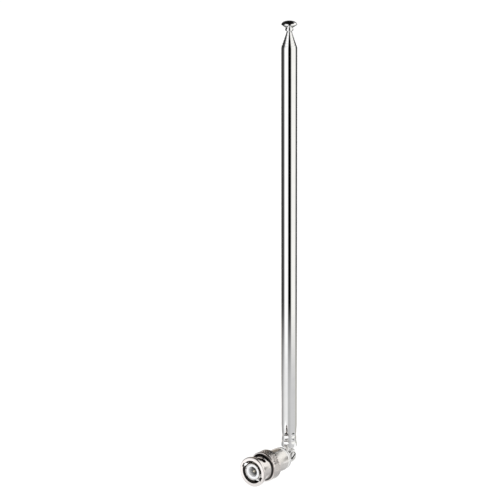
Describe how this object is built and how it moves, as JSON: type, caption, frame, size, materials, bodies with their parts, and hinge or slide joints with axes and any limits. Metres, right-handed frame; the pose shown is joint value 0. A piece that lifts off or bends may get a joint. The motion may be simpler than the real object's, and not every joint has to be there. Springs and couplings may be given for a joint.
{
  "type": "telescopic whip aerial",
  "caption": "Seven-section telescopic whip aerial on a folding friction elbow with a bayonet coaxial plug, shown collapsed and folded at a right angle.",
  "frame": {"origin": "on the plug's axis, in the plane of the outer contact's front edge, which seats in the jack", "axes": "+Y along the plug's axis from its mouth to the elbow, +Z along the folded mast, X along the elbow's screw with the screw's head at +X"},
  "size_m": [0.0142, 0.0327, 0.2133],
  "materials": {
    "tube_chrome": "bright chromium plate on drawn brass tube",
    "plug_nickel": "bright nickel plate on turned brass",
    "yoke_nickel": "bright nickel plate on turned and milled brass",
    "spring_bronze": "rolled phosphor bronze strip",
    "contact_gold": "thin pale gold flash on turned brass",
    "spring_steel": "pressed spring steel",
    "screw_steel": "nickel-plated steel screw",
    "insulator_white": "waxy white fluoroplastic",
    "bush_white": "moulded white nylon",
    "gasket_red": "red-brown silicone rubber"
  },
  "bodies": {
    "plug": {"plug_shell": "plug_nickel", "outer_contact": "plug_nickel", "front_insulator": "insulator_white", "centre_contact": "contact_gold", "gasket": "gasket_red", "wave_washer": "spring_steel", "insulating_bush": "bush_white", "yoke": "yoke_nickel", "hinge_screw": "screw_steel"},
    "nut_carrier": {"thrust_washer": "spring_steel"},
    "nut": {"coupling_nut": "plug_nickel", "retaining_ring": "spring_steel"},
    "mast_1": {"foot_plug": "yoke_nickel", "tube_1": "tube_chrome"},
    "mast_2": {"tube_2": "tube_chrome", "friction_spring_2": "spring_bronze"},
    "mast_3": {"tube_3": "tube_chrome", "friction_spring_3": "spring_bronze"},
    "mast_4": {"tube_4": "tube_chrome", "friction_spring_4": "spring_bronze"},
    "mast_5": {"tube_5": "tube_chrome", "friction_spring_5": "spring_bronze"},
    "mast_6": {"tube_6": "tube_chrome", "friction_spring_6": "spring_bronze"},
    "mast_7": {"tip_rod": "tube_chrome", "tip_button": "tube_chrome", "friction_spring_7": "spring_bronze"}
  },
  "joints": [
    {"name": "nut_slide", "type": "slide", "parent": "plug", "child": "nut_carrier", "axis": [0, -1, 0], "range_m": [0, 0.0008], "stiffness_N_per_m": 1500, "deforming": ["wave_washer"]},
    {"name": "nut_turn", "type": "hinge", "parent": "nut_carrier", "child": "nut", "pos_m": [0, 0, 0], "axis": [0, 1, 0], "continuous": true},
    {"name": "elbow", "type": "hinge", "parent": "plug", "child": "mast_1", "pos_m": [0, 0.02885, 0], "axis": [-1, 0, 0], "range_deg": [0, 180]},
    {"name": "slide_2", "type": "slide", "parent": "mast_1", "child": "mast_2", "axis": [0, 0, 1], "range_m": [0, 0.155]},
    {"name": "slide_3", "type": "slide", "parent": "mast_2", "child": "mast_3", "axis": [0, 0, 1], "range_m": [0, 0.155]},
    {"name": "slide_4", "type": "slide", "parent": "mast_3", "child": "mast_4", "axis": [0, 0, 1], "range_m": [0, 0.155]},
    {"name": "slide_5", "type": "slide", "parent": "mast_4", "child": "mast_5", "axis": [0, 0, 1], "range_m": [0, 0.155]},
    {"name": "slide_6", "type": "slide", "parent": "mast_5", "child": "mast_6", "axis": [0, 0, 1], "range_m": [0, 0.155]},
    {"name": "slide_7", "type": "slide", "parent": "mast_6", "child": "mast_7", "axis": [0, 0, 1], "range_m": [0, 0.155]}
  ]
}
